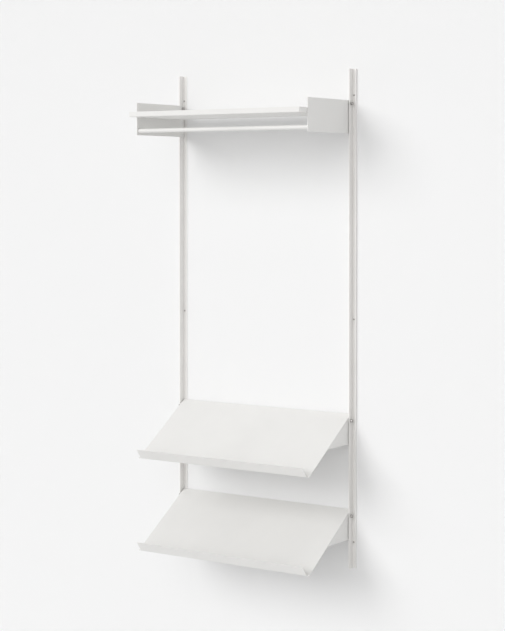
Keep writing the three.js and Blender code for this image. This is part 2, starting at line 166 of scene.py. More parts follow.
class FastenerSizes(PropertyGroup):
    """Sizes of the screws, thumb bolts, nuts, spacers and spigots."""

    screw_head_height: length("Screw Head Height", "Height of a wall screw's pan head", 2.4)
    screw_dome: length("Screw Dome", "Rounding of the pan head's rim", 1.6)
    screw_shank_radius: length("Screw Shank Radius", "Radius of a wall screw's shank", 2)
    recess_reach: length("Recess Reach", "Half length of the cross recess", 1.7)
    recess_half_width: length("Recess Half Width", "Half width of the cross recess", 0.45)
    recess_depth: length("Recess Depth", "Depth of the cross recess", 1.3)
    wall_screw_hole: length("Wall Screw Hole", "Radius of the holes for the wall screws", 2.3)
    knob_radius: length("Knob Radius", "Radius over the ridges of a knurled grip", 6)
    knob_length: length("Knob Length", "Length of a thumb bolt's head with its collar", 8)
    collar_radius: length("Collar Radius", "Radius of the collar under a grip", 4.8)
    collar_length: length("Collar Length", "Length of the collar under a grip", 1.4)
    knurl_depth: length("Knurl Depth", "Depth of the grooves in a grip", 0.42)
    knurl_count: IntProperty(name="Knurls", description="Grooves round a grip", default=28, min=8)
    knob_chamfer: length("Knob Chamfer", "Chamfer at both rims of a grip", 0.6)
    dish_depth: length("Dish Depth", "Depth of the turned dish in a bolt's head", 0.5)
    dish_rim: length("Dish Rim", "Width of the rim round the turned dish", 1.3)
    shank_radius: length("Shank Radius", "Radius of a thumb bolt's shank", 2.5)
    shank_chamfer: length("Shank Chamfer", "Chamfer at the end of a shank or stud", 0.5)
    bolt_hole: length("Bolt Hole", "Radius of the holes for the thumb bolts", 2.8)
    stud_radius: length("Stud Radius", "Radius of a weld stud", 2)
    stud_hole: length("Stud Hole", "Radius of the holes for the weld studs", 2.3)
    nut_across_flats: length("Nut Across Flats", "Width of a hexagon nut across its flats", 7)
    nut_height: length("Nut Height", "Height of a hexagon nut", 3.2)
    nut_chamfer: length("Nut Chamfer", "Chamfer of a hexagon nut's corners", 0.6)
    spigot_chamfer: length("Spigot Chamfer", "Chamfer at a rod spigot's end", 1)
    edge_radius: length("Edge Radius", "Softness of the fasteners' small edges", 0.12)


class SheetSizes(PropertyGroup):
    """Sizes of the folded sheets and the bracket plates."""

    plate_thickness: length("Plate Thickness", "Thickness of the bracket plates", 3)
    plate_corner: length("Plate Corner", "Corner radius of the bracket plates", 1.5)
    heel_reach: length("Heel Reach", "How far a heel stands out behind its plate's back edge", 3.7)
    hat_heel_height: length("Hat Heel Height", "Height of the hat brackets' heel", 18)
    shoe_heel_height: length("Shoe Heel Height", "Height of the shoe brackets' heel", 14)
    tray_thickness: length("Tray Thickness", "Sheet thickness of the hat shelf tray", 1.5)
    tray_bend: length("Tray Bend", "Outer radius of the tray's bends and corners", 2.5)
    tray_seam: length("Tray Seam", "Width of the open seam at each corner of the tray", 0.5)
    shoe_thickness: length("Shoe Sheet Thickness", "Thickness of the shoe shelf sheets", 2)
    shoe_bend: length("Shoe Sheet Bend", "Outer bend radius of a shoe shelf's lip", 3)
    shoe_lip_height: length("Shoe Lip Height", "Outer height of a shoe shelf's lip", 46)
    shoe_lip_inset: length("Shoe Lip Inset", "Distance from the sheet's side to its lip", 11)
    relief_width: length("Relief Width", "Width of the bend relief beside the lip", 5)
    relief_depth: length("Relief Depth", "Depth of the bend relief behind the bend", 3)
    flange_start: length("Flange Start", "Distance from a sheet's back edge to its flanges", 30)
    flange_length: length("Flange Length", "Length of the shoe brackets' flanges", 150)
    flange_corner: length("Flange Corner", "Corner radius of the flanges", 4)
    seat_gap: length("Seat Gap", "Gap between faces that touch", 0.3)
    rod_wall: length("Rod Wall", "Wall thickness of the clothes rod", 1.5)
    edge_radius: length("Edge Radius", "Softness of the coated sheets' edges", 0.35)


class Finishes(PropertyGroup):
    """Colours and grain of the finishes."""

    shelf_coat: colour("Shelf Coat", "Powder coat of the shelves, brackets and rod", (0.845, 0.838, 0.82))
    # Rail coat: its warm tint is the coat's own colour, but it is set lighter than the shelf coat as
    # painted light, standing in for light that the lamps don't bring onto the rails' fins and wings.
    rail_coat: colour("Rail Coat", "Powder coat of the rails", (0.9, 0.887, 0.867))
    dark_steel: colour("Dark Steel", "Browned steel of the bolts and screws", (0.57, 0.555, 0.54))
    zinc_steel: colour("Zinc", "Bright zinc plate of the nuts and spigots", (0.6, 0.61, 0.62))
    coat_roughness: number("Coat Roughness", "Roughness of the powder coat", 0.5, min=0, max=1)
    grain_size: length("Grain Size", "Size of the powder coat's fine grain", 0.7)
    peel_size: length("Peel Size", "Size of the powder coat's soft waves", 5)
    turning_size: length("Turning Size", "Spacing of the turning marks on round steel", 0.25)


class StageSettings(PropertyGroup):
    """The plain wall, floor, lights and camera round the closet."""

    wall: colour("Wall", "Colour of the wall", (0.888, 0.888, 0.888))
    floor: colour("Floor", "Colour of the floor", (0.8, 0.8, 0.8))
    floor_below: length("Floor Below", "Height of the rails' feet above the floor", 600)
    camera_x: coordinate("Camera X", "Camera along the wall", 4.1732)
    camera_y: coordinate("Camera Y", "Camera in front of the wall", -5.4382)
    camera_z: coordinate("Camera Z", "Camera above the lowest wall screws", 1.3553)
    camera_yaw: angle("Camera Yaw", "Turn of the camera from square to the wall", 33.839)
    camera_tilt: angle("Camera Tilt", "Downward tilt of the camera", 1.5)
    lens: number("Lens", "Focal length in millimetres", 96.07, min=1)
    shift_up: number("Shift", "Vertical shift of the frame", -0.1348)
    shift_side: number("Side Shift", "Sideways shift of the frame", -0.0617)
    key_way: way_to_light("Key Way", "Way from the closet to the key light", (-0.62, -1, 0.55))
    key_strength: number("Key Strength", "Strength of the key light", 1.06, min=0)
    key_width: angle("Key Width", "Width of the key light as seen from the closet", 34)
    fill_way: way_to_light("Fill Way", "Way from the closet to the fill light", (0.1, -1, 0.35))
    fill_strength: number("Fill Strength", "Strength of the fill light", 0.76, min=0)
    fill_width: angle("Fill Width", "Width of the fill light as seen from the closet", 60)
    sky_level: number("Sky Level", "Strength of the even light", 0.45, min=0)


# Objects and selections

def pick_only(piece):
    """Deselects everything and makes this object the selected and active one."""
    bpy.ops.object.select_all(action="DESELECT")
    piece.select_set(True)
    bpy.context.view_layer.objects.active = piece


def settle(piece):
    """Moves an object's place, turn and size into its mesh."""
    pick_only(piece)
    bpy.ops.object.transform_apply(location=True, rotation=True, scale=True)
    return piece


def named(piece, name):
    """Gives an object and its mesh one name."""
    piece.name = name
    piece.data.name = name
    return piece


def start_block(name, low, high):
    """A block between two corners."""
    low = Vector(low)
    high = Vector(high)
    bpy.ops.object.select_all(action="DESELECT")
    bpy.ops.mesh.primitive_cube_add(size=1, location=(low + high) / 2)
    piece = named(bpy.context.object, name)
    piece.scale = high - low
    return settle(piece)


def start_sheet(name, low, high, height):
    """A flat face between two corners in X and Y, at one height."""
    low = Vector((*low, height))
    high = Vector((*high, height))
    bpy.ops.object.select_all(action="DESELECT")
    bpy.ops.mesh.primitive_plane_add(size=1, location=(low + high) / 2)
    piece = named(bpy.context.object, name)
    piece.scale = (high.x - low.x, high.y - low.y, 1)
    return settle(piece)


def start_round(name, radius, start, end, axis="X", middle=(0, 0, 0), sides=ROUND_SIDES, ends="NGON"):
    """A round bar along an axis, from one place on it to another, through a middle point."""
    place = Vector(middle)
    place["XYZ".index(axis)] = (start + end) / 2
    bpy.ops.object.select_all(action="DESELECT")
    bpy.ops.mesh.primitive_cylinder_add(
        vertices=sides, radius=radius, depth=end - start, end_fill_type=ends, location=place,
        rotation=TURN_TO_AXIS[axis])
    return settle(named(bpy.context.object, name))


def leave_edit():
    """Goes back to object mode."""
    bpy.ops.object.mode_set(mode="OBJECT")


def choose(piece, kind, test):
    """Enters edit mode with only those faces or edges selected that pass a test.

    The test is given the middle of each, and a face's normal or an edge's direction.
    """
    pick_only(piece)
    bpy.ops.object.mode_set(mode="EDIT")
    bpy.ops.mesh.select_mode(type=kind)
    bpy.ops.mesh.select_all(action="DESELECT")
    leave_edit()
    mesh = piece.data
    found = 0
    if kind == "FACE":
        for face in mesh.polygons:
            face.select = test(face.center, face.normal)
            found += face.select
    else:
        for edge in mesh.edges:
            start, end = (mesh.vertices[index].co for index in edge.vertices)
            edge.select = test((start + end) / 2, (end - start).normalized())
            found += edge.select
    if not found:
        raise RuntimeError(f"{piece.name} has nothing there to shape")
    bpy.ops.object.mode_set(mode="EDIT")


def everywhere(middle, direction):
    """The test that every face and edge passes."""
    return True


def near(one, other):
    """True where two places are the same to a hundredth of a millimetre."""
    return abs(one - other) < MM / 100


def slice_across(piece, place, normal, keep_below=False):
    """Cuts a line of edges round a piece, and drops what lies beyond it where asked."""
    choose(piece, "FACE", everywhere)
    bpy.ops.mesh.bisect(
        plane_co=place, plane_no=normal, use_fill=keep_below, clear_outer=keep_below,
        threshold=SAME_POINT)
    leave_edit()


def delete_faces(piece, test):
    """Deletes the faces that pass a test."""
    choose(piece, "FACE", test)
    bpy.ops.mesh.delete(type="FACE")
    leave_edit()


def push_faces(piece, test, move):
    """Extrudes the faces that pass a test."""
    choose(piece, "FACE", test)
    bpy.ops.mesh.extrude_region_move(TRANSFORM_OT_translate={"value": move})
    leave_edit()


def push_edges(piece, test, move):
    """Extrudes the edges that pass a test into new faces."""
    choose(piece, "EDGE", test)
    bpy.ops.mesh.extrude_edges_move(TRANSFORM_OT_translate={"value": move})
    leave_edit()


def step_in(piece, test, inset, move):
    """Insets the faces that pass a test, then extrudes what is inside."""
    choose(piece, "FACE", test)
    bpy.ops.mesh.inset(thickness=inset)
    bpy.ops.mesh.extrude_region_move(TRANSFORM_OT_translate={"value": move})
    leave_edit()


def round_edges(piece, test, radius, segments=1):
    """Rounds the edges that pass a test, or chamfers them with a single segment."""
    choose(piece, "EDGE", test)
    bpy.ops.mesh.bevel(offset=radius, segments=segments, affect="EDGES", clamp_overlap=False)
    leave_edit()


def face_outwards(piece):
    """Merges doubles and turns every face outwards."""
    choose(piece, "FACE", everywhere)
    bpy.ops.mesh.remove_doubles(threshold=SAME_POINT)
    bpy.ops.mesh.normals_make_consistent(inside=False)
    leave_edit()


def add_modifier(piece, kind, **settings):
    """Puts a modifier on a piece and applies it."""
    pick_only(piece)
    modifier = piece.modifiers.new(kind.lower(), kind)
    for setting, value in settings.items():
        setattr(modifier, setting, value)
    bpy.ops.object.modifier_apply(modifier=modifier.name)


def soften(piece, radius):
    """Rounds every hard edge a little."""
    add_modifier(
        piece, "BEVEL", width=radius, segments=2, limit_method="ANGLE", angle_limit=SMOOTH_ANGLE,
        miter_outer="MITER_ARC")


def combine(piece, operation, other):
    """Cuts away, joins or keeps the overlap with another piece, and removes that one."""
    add_modifier(piece, "BOOLEAN", object=other, operation=operation, solver="EXACT")
    bpy.data.objects.remove(other)


def drill(piece, radius, start, end, axis="X", middle=(0, 0, 0), sides=STUD_SIDES):
    """Cuts a round hole along an axis, from one place on it to another, through a middle point."""
    combine(piece, "DIFFERENCE", start_round("drill", radius, start, end, axis, middle, sides))


def weld_stud(piece, fasteners, foot, tip, axis, middle):
    """Joins a round stud with a chamfered tip to a piece."""
    stud = start_round(
        "stud", fasteners.stud_radius, min(foot, tip), max(foot, tip), axis, middle, STUD_SIDES)
    along = "XYZ".index(axis)
    round_edges(stud, lambda place, direction: near(place[along], tip), fasteners.shank_chamfer)
    combine(piece, "UNION", stud)


def placed_copy(master, name, place, turn=UNTURNED):
    """A copy with its own mesh, turned and moved, with both settled into the mesh."""
    piece = master.copy()
    piece.data = master.data.copy()
    bpy.context.collection.objects.link(piece)
    named(piece, name)
    piece.rotation_euler = turn
    piece.location = place
    return settle(piece)


def finish_piece(piece, node):
    """Shades a piece, gives it its slot's finish and lets it stand for a node."""
    pick_only(piece)
    bpy.ops.object.shade_smooth_by_angle(angle=SMOOTH_ANGLE)
    add_modifier(piece, "WEIGHTED_NORMAL", keep_sharp=True)
    slot = SLOT_OF[node]
    piece.data.materials.clear()
    piece.data.materials.append(finish_of(slot))
    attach(piece, BODY_OF[node])
    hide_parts(node)


def finish_copies(master, ending, seats):
    """Copies a master to each node's seat, a place and a turn, and removes it."""
    for node, (place, turn) in seats.items():
        finish_piece(placed_copy(master, f"{node}_{ending}", place, turn), node)
    bpy.data.objects.remove(master)


def finish_pair(left, node):
    """Mirrors a left piece about the closet's middle, and finishes it and its mirror image."""
    right = placed_copy(left, left.name.replace("left", "right"), (0, 0, 0))
    right.scale.x = -1
    right.location.x = cad_box[0].x + cad_box[1].x
    settle(right)
    face_outwards(right)
    finish_piece(left, node)
    finish_piece(right, node.replace("left", "right"))


def centre_of(node):
    """The middle of a node's box."""
    low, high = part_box(node)
    return (low + high) / 2


def seat_of(node, inset=0.0, turned_side="right"):
    """Where a copy sits at its node's outer end, moved in by an inset, and its turn about Z."""
    low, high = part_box(node)
    place = centre_of(node)
    place.x = low.x + inset if node.startswith("left") else high.x - inset
    return place, (0, 0, math.pi if node.startswith(turned_side) else 0)


def bolt_nodes(kind):
    """The names of the nodes of one kind that sit at the six thumb bolts."""
    return [f"{side}_{level}_{kind}" for side in SIDES for level in BOLT_LEVELS]


# Shader node groups and materials

def feed(tree, node, values):
    """Gives a node's inputs their values, and links those that come from a socket."""
    for label, value in dict(values).items():
        if isinstance(value, bpy.types.NodeSocket):
            tree.links.new(value, node.inputs[label])
        else:
            node.inputs[label].default_value = value


def add_node(tree, kind, values=(), **settings):
    """Adds a node with its settings and feeds its inputs."""
    node = tree.nodes.new(kind)
    for setting, value in settings.items():
        setattr(node, setting, value)
    feed(tree, node, values)
    return node


def maths(tree, operation, first, second):
    """A math node's result; each side is a socket or a number."""
    return add_node(tree, "ShaderNodeMath", {0: first, 1: second}, operation=operation).outputs["Value"]


def noise(tree, vector, scale, detail):
    """A noise texture's value; the scale is a socket or a number."""
    values = {"Vector": vector, "Scale": scale, "Detail": detail}
    return add_node(tree, "ShaderNodeTexNoise", values).outputs["Fac"]


def spread(tree, value, taken, onto=(0.0, 1.0)):
    """Stretches one range of values over another."""
    values = {
        "Value": value, "From Min": taken[0], "From Max": taken[1], "To Min": onto[0], "To Max": onto[1]}
    return add_node(tree, "ShaderNodeMapRange", values).outputs["Result"]


def blend_colours(tree, share, first, second):
    """Mixes two colours by a share."""
    node = add_node(tree, "ShaderNodeMix", data_type="RGBA")
    index_of = {socket.identifier: index for index, socket in enumerate(node.inputs)}
    feed(tree, node, {
        index_of["Factor_Float"]: share, index_of["A_Color"]: first, index_of["B_Color"]: second})
    return next(socket for socket in node.outputs if socket.identifier == "Result_Color")


def powder_grain(group, given):
    """Fine grain on soft waves, as powder coat shows from close by."""
    place = given["Place"]
    grain = noise(group, place, maths(group, "DIVIDE", 1.0, given["Grain Size"]), detail=3.0)
    waves = noise(group, place, maths(group, "DIVIDE", 1.0, given["Peel Size"]), detail=1.0)
    fine = maths(group, "MULTIPLY", grain, GRAIN_SHARE)
    soft = maths(group, "MULTIPLY", waves, 1 - GRAIN_SHARE)
    rubbed = spread(group, noise(group, place, scale=9.0, detail=4.0), NOISE_BULK, (-0.05, 0.05))
    swing = maths(group, "ADD", rubbed, spread(group, grain, NOISE_BULK, (-0.03, 0.03)))
    return {
        "Height": maths(group, "ADD", fine, soft),
        "Roughness": maths(group, "ADD", given["Roughness"], swing),
        "Speck": spread(group, grain, (0.62, 0.74)),
    }


def soft_tone(group, given):
    """A colour that drifts a little over a surface, with faint specks."""
    patches = spread(group, noise(group, given["Place"], given["Patch Scale"], detail=3.0), (0.35, 0.7))
    flecks = maths(group, "MULTIPLY", given["Speck"], SPECK_DEPTH)
    share = maths(group, "MINIMUM", maths(group, "ADD", patches, flecks), 1.0)
    return {"Colour": blend_colours(group, share, given["Colour"], given["Deep Colour"])}


def settled_dust(group, given):
    """Thin dust on faces that look up, more of it in patches."""
    normal = add_node(group, "ShaderNodeNewGeometry").outputs["Normal"]
    parts = add_node(group, "ShaderNodeSeparateXYZ", {"Vector": normal})
    upward = spread(group, parts.outputs["Z"], (0.6, 0.95))
    patches = spread(group, noise(group, given["Place"], scale=14.0, detail=5.0), (0.35, 0.75), (0.25, 1.0))
    mask = maths(group, "MULTIPLY", maths(group, "MULTIPLY", upward, patches), given["Amount"])
    return {"Colour": blend_colours(group, mask, given["Colour"], given["Dust Colour"]), "Mask": mask}


def turned_marks(group, given):
    """Fine rings that a lathe leaves on round steel, along X, with darker hollows."""
    stretched = add_node(
        group, "ShaderNodeVectorMath", {0: given["Place"], 1: RING_STRETCH}, operation="MULTIPLY")
    scale = maths(group, "DIVIDE", 1.0, given["Mark Size"])
    rings = noise(group, stretched.outputs["Vector"], scale, detail=2.0)
    blotch = spread(group, noise(group, given["Place"], scale=260.0, detail=4.0), NOISE_BULK, (-0.08, 0.08))
    return {
        "Height": rings,
        "Roughness": maths(group, "ADD", given["Roughness"], blotch),
        "Mark": spread(group, rings, (0.4, 0.65)),
    }


# Each group's maker and its inputs with their defaults, where an input without one is a place
NODE_GROUPS = {
    "Powder Grain": (powder_grain, {
        "Place": None, "Grain Size": 0.7 * MM, "Peel Size": 5 * MM, "Roughness": 0.5}),
    "Soft Tone": (soft_tone, {
        "Place": None, "Colour": WHITE, "Deep Colour": WHITE, "Patch Scale": 5.0, "Speck": 0.0}),
    "Settled Dust": (settled_dust, {
        "Place": None, "Colour": WHITE, "Dust Colour": (0.7, 0.69, 0.67, 1), "Amount": 0.1}),
    "Turned Marks": (turned_marks, {"Place": None, "Mark Size": 0.25 * MM, "Roughness": 0.4}),
}


def shared_group(name):
    """A shader node group of the table above, built when it is first asked for."""
    group = bpy.data.node_groups.get(name)
    if group:
        return group
    build, inputs = NODE_GROUPS[name]
    group = bpy.data.node_groups.new(name, "ShaderNodeTree")
    for label, default in inputs.items():
        kind = SOCKET_KINDS[type(default)]
        socket = group.interface.new_socket(name=label, in_out="INPUT", socket_type=kind)
        if default is not None:
            socket.default_value = default
    results = build(group, group.nodes.new("NodeGroupInput").outputs)
    for label in results:
        kind = "NodeSocketColor" if label == "Colour" else "NodeSocketFloat"
        group.interface.new_socket(name=label, in_out="OUTPUT", socket_type=kind)
    feed(group, group.nodes.new("NodeGroupOutput"), results)
    return group


def place_group(tree, name, values):
    """Puts a shared node group in a material with its own values, and gives its outputs."""
    return add_node(tree, "ShaderNodeGroup", values, node_tree=shared_group(name)).outputs


def bumped(tree, height, strength, distance):
    """A surface normal that a height bends a little."""
    values = {"Height": height, "Strength": strength, "Distance": distance}
    return add_node(tree, "ShaderNodeBump", values).outputs["Normal"]


def start_material(name):
    """An empty node material with its shader."""
    material = bpy.data.materials.new(name)
    material.use_nodes = True
    tree = material.node_tree
    tree.nodes.clear()
    shader = add_node(tree, "ShaderNodeBsdfPrincipled")
    add_node(tree, "ShaderNodeOutputMaterial", {"Surface": shader.outputs["BSDF"]})
    return material, tree, shader


def object_place(tree):
    """The place on a piece, in the closet's own coordinates."""
    return add_node(tree, "ShaderNodeTexCoord").outputs["Object"]


def deeper(tint, share):
    """A colour taken a share towards black, with its alpha."""
    return (*(part * (1 - share) for part in tint), 1)


def coat_material(name, tint, dust):
    """A fine satin powder coat with soft waves, drifting tone and a breath of dust."""
    finishes = bpy.context.scene.closet_finishes
    material, tree, shader = start_material(name)
    place = object_place(tree)
    grain = place_group(tree, "Powder Grain", {
        "Place": place, "Grain Size": finishes.grain_size, "Peel Size": finishes.peel_size,
        "Roughness": finishes.coat_roughness})
    tone = place_group(tree, "Soft Tone", {
        "Place": place, "Colour": (*tint, 1), "Deep Colour": deeper(tint, share=0.035),
        "Patch Scale": 4.0, "Speck": grain["Speck"]})
    settled = place_group(tree, "Settled Dust", {"Place": place, "Colour": tone["Colour"], "Amount": dust})
    feed(tree, shader, {
        "Base Color": settled["Colour"],
        "Roughness": maths(tree, "ADD", grain["Roughness"], settled["Mask"]),
        "Normal": bumped(tree, grain["Height"], strength=0.35, distance=0.06 * MM),
        "IOR": 1.5, "Specular IOR Level": 0.45})
    return material


def steel_material(name, tint, roughness, mark_depth):
    """Round steel with turning marks and a colour that is deeper in them."""
    finishes = bpy.context.scene.closet_finishes
    material, tree, shader = start_material(name)
    place = object_place(tree)
    marks = place_group(tree, "Turned Marks", {
        "Place": place, "Mark Size": finishes.turning_size, "Roughness": roughness})
    tone = place_group(tree, "Soft Tone", {
        "Place": place, "Colour": (*tint, 1), "Deep Colour": deeper(tint, share=0.3),
        "Patch Scale": 190.0, "Speck": marks["Mark"]})
    feed(tree, shader, {
        "Base Color": tone["Colour"], "Roughness": marks["Roughness"], "Metallic": 0.9,
        "Normal": bumped(tree, marks["Height"], strength=0.3, distance=mark_depth)})
    return material


FINISH_OF_SLOT = {
    "shelf_coat": (coat_material, {"dust": 0.1}),
    # The rail coat's colour is partly painted light: it is lighter than the shelf coat to brighten the
    # rails' fins and wings.
    "rail_coat": (coat_material, {"dust": 0.05}),
    "dark_steel": (steel_material, {"roughness": 0.42, "mark_depth": 0.02 * MM}),
    "zinc_steel": (steel_material, {"roughness": 0.3, "mark_depth": 0.01 * MM}),
}


def finish_of(slot):
    """The material of one of the record's slots, made when it is first asked for."""
    name = f"{slot}_finish"
    make, values = FINISH_OF_SLOT[slot]
    tint = getattr(bpy.context.scene.closet_finishes, slot)
    return bpy.data.materials.get(name) or make(name, tint, **values)


# Rails and their screws

def wall_screw_nodes(side):
    """The names of a side's wall screw nodes."""
    return [
        f"{side}_{row}_{wing}_wall_screw" for row in ("bottom", "middle", "top")
        for wing in ("inner", "outer")]


def make_left_rail(sizes, fasteners):
    """The left rail: wings and fin extruded from a strip, with a return lip on the outer wing."""
    low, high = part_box("left_rail")
    middle = (low.x + high.x) / 2
    fin_half = sizes.fin_thickness / 2
    wing_front = high.y - sizes.wing_thickness
    lip_inside = low.x + sizes.lip_thickness
    rail = start_block("left_rail_extrusion", (low.x, wing_front, low.z), high)
    for x in (lip_inside, middle - fin_half, middle + fin_half):
        slice_across(rail, (x, 0, 0), (1, 0, 0))
    push_faces(
        rail, lambda place, normal: normal.y < -ALIGNED and abs(place.x - middle) < fin_half,
        (0, low.y - wing_front, 0))
    push_faces(
        rail, lambda place, normal: normal.y < -ALIGNED and place.x < lip_inside,
        (0, sizes.wing_thickness - sizes.lip_depth, 0))
    round_edges(
        rail, lambda place, along: abs(along.z) > ALIGNED and near(abs(place.x - middle), fin_half)
        and near(place.y, wing_front), sizes.root_radius, CORNER_SEGMENTS)
    soften(rail, sizes.edge_radius)
    for node in wall_screw_nodes("left"):
        drill(rail, fasteners.wall_screw_hole, low.y, -low.y, "Y", centre_of(node))
    for level in BOLT_LEVELS:
        drill(rail, fasteners.bolt_hole, low.x, high.x, "X", centre_of(f"left_{level}_thumb_bolt"))
    return rail


def make_wall_screw(sizes):
    """A pan head screw with a cross recess, seen from the front, with the wall face at Y = 0."""
    low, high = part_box("left_bottom_inner_wall_screw")
    radius = (high.x - low.x) / 2
    head_front = low.y
    head_back = low.y + sizes.screw_head_height
    screw = start_round("wall_screw", radius, head_front, head_back, "Y", sides=BORE_SIDES)
    round_edges(
        screw, lambda place, along: near(place.y, head_front), sizes.screw_dome, CORNER_SEGMENTS)
    step_in(
        screw, lambda place, normal: normal.y > ALIGNED, radius - sizes.screw_shank_radius,
        (0, -head_back, 0))
    floor = head_front + sizes.recess_depth
    reach = sizes.recess_reach
    half = sizes.recess_half_width
    for across, up in ((reach, half), (half, reach)):
        slot = start_block("recess", (-across, 2 * head_front, -up), (across, floor, up))
        combine(screw, "DIFFERENCE", slot)
    return screw


class CLOSET_OT_build_rails(Operator):
    """Models both wall rails, with their fins, return lips and holes"""

    bl_idname = "closet.build_rails"
    bl_label = "Rails"

    def execute(self, context):
        scene = context.scene
        finish_pair(make_left_rail(scene.closet_rails, scene.closet_fasteners), "left_rail")
        return {"FINISHED"}


class CLOSET_OT_build_wall_screws(Operator):
    """Models one pan head wall screw and copies it to every screw place"""

    bl_idname = "closet.build_wall_screws"
    bl_label = "Wall Screws"

    def execute(self, context):
        seats = {}
        for node in wall_screw_nodes("left") + wall_screw_nodes("right"):
            spot = centre_of(node)
            seats[node] = ((spot.x, 0, spot.z), UNTURNED)
        finish_copies(make_wall_screw(context.scene.closet_fasteners), "pan_head", seats)
        return {"FINISHED"}


# Thumb bolts, thumb nuts and spacers

def make_grip(name, sizes, grip_end):
    """A knurled grip on a collar, with its seat at X = 0."""
    ridges = sizes.knurl_count
    collar_end = sizes.collar_length
    grip = start_round(name, sizes.knob_radius, collar_end, grip_end, sides=2 * ridges)
    round_edges(
        grip, lambda place, along: near(place.x, grip_end) or near(place.x, collar_end),
        sizes.knob_chamfer, RIM_SEGMENTS)
    rim = sizes.knob_radius - sizes.knob_chamfer

    def in_groove(place, normal):
        turned = math.atan2(place.y, place.z) % (2 * math.pi)
        around = abs(normal.x) < 1 - ALIGNED and math.hypot(place.y, place.z) > rim
        return around and int(turned * ridges / math.pi) % 2 == 0

    choose(grip, "FACE", in_groove)
    bpy.ops.mesh.inset(thickness=sizes.edge_radius, depth=-sizes.knurl_depth, use_individual=True)
    leave_edit()
    step_in(
        grip, lambda place, normal: normal.x < -ALIGNED and near(place.x, collar_end),
        rim - sizes.collar_radius, (-collar_end, 0, 0))
    return grip


def make_thumb_bolt(sizes):
    """A knurled head with a turned dish, and a shank with a chamfered end."""
    low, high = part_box("right_hat_thumb_bolt")
    shank_length = high.x - low.x - sizes.knob_length
    bolt = make_grip("thumb_bolt", sizes, sizes.knob_length)
    step_in(
        bolt, lambda place, normal: normal.x > ALIGNED and near(place.x, sizes.knob_length),
        sizes.dish_rim, (-sizes.dish_depth, 0, 0))
    step_in(
        bolt, lambda place, normal: normal.x < -ALIGNED and near(place.x, 0),
        sizes.collar_radius - sizes.shank_radius, (-shank_length, 0, 0))
    round_edges(bolt, lambda place, along: near(place.x, -shank_length), sizes.shank_chamfer)
    return bolt


def make_thumb_nut(sizes):
    """A knurled nut with a through bore."""
    low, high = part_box("left_hat_thumb_nut")
    nut_length = high.x - low.x
    nut = make_grip("thumb_nut", sizes, nut_length)
    drill(nut, sizes.bolt_hole, -nut_length, 2 * nut_length, sides=BORE_SIDES)
    return nut


def make_spacer(sizes):
    """A thin ring with a through bore, centred on it along X."""
    low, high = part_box("left_hat_spacer")
    half = (high.x - low.x) / 2
    ring = start_round("spacer_ring", (high.z - low.z) / 2, -half, half)
    soften(ring, sizes.edge_radius)
    drill(ring, sizes.bolt_hole, -2 * half, 2 * half, sides=BORE_SIDES)
    return ring


class CLOSET_OT_build_thumb_bolts(Operator):
    """Models one knurled thumb bolt and copies it to the outside of every fin"""

    bl_idname = "closet.build_thumb_bolts"
    bl_label = "Thumb Bolts"

    def execute(self, context):
        sizes = context.scene.closet_fasteners
        seats = {node: seat_of(node, sizes.knob_length, "left") for node in bolt_nodes("thumb_bolt")}
        finish_copies(make_thumb_bolt(sizes), "knurled", seats)
        return {"FINISHED"}


class CLOSET_OT_build_thumb_nuts(Operator):
    """Models one knurled thumb nut and copies it to the inside of every bracket"""

    bl_idname = "closet.build_thumb_nuts"
    bl_label = "Thumb Nuts"

    def execute(self, context):
        seats = {node: seat_of(node) for node in bolt_nodes("thumb_nut")}
        finish_copies(make_thumb_nut(context.scene.closet_fasteners), "knurled", seats)
        return {"FINISHED"}


class CLOSET_OT_build_spacers(Operator):
    """Models one thin spacer ring and copies it between every fin and bracket"""

    bl_idname = "closet.build_spacers"
    bl_label = "Spacers"

    def execute(self, context):
        seats = {node: (centre_of(node), UNTURNED) for node in bolt_nodes("spacer")}
        finish_copies(make_spacer(context.scene.closet_fasteners), "ring", seats)
        return {"FINISHED"}


# Hat shelf

def add_heel(plate, heel_top, reach):
    """Extends the lower part of a bracket plate's back edge towards the wall."""
    slice_across(plate, (0, 0, heel_top), (0, 0, 1))
    push_faces(
        plate, lambda place, normal: normal.y > ALIGNED and place.z < heel_top, (0, reach, 0))


def make_left_hat_bracket(sizes, fasteners):
    """The left hat bracket: a plate with a heel at its lower back corner and two weld studs."""
    low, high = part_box("left_hat_bracket")
    inside = low.x + sizes.plate_thickness
    plate_back = high.y - sizes.heel_reach
    heel_top = low.z + sizes.hat_heel_height
    plate = start_block("left_hat_bracket_plate", low, (inside, plate_back, high.z))
    add_heel(plate, heel_top, sizes.heel_reach)
    round_edges(
        plate, lambda place, along: abs(along.x) > ALIGNED and not (
            near(place.y, plate_back) and place.z < heel_top + MM),
        sizes.plate_corner, CORNER_SEGMENTS)
    soften(plate, sizes.edge_radius)
    bolt = centre_of("left_hat_thumb_bolt")
    drill(plate, fasteners.bolt_hole, low.x - MM, inside + MM, "X", bolt, BORE_SIDES)
    for row in NUT_ROWS:
        spot = centre_of(f"left_{row}_tray_nut")
        weld_stud(plate, fasteners, (low.x + inside) / 2, high.x, "X", spot)
    return plate


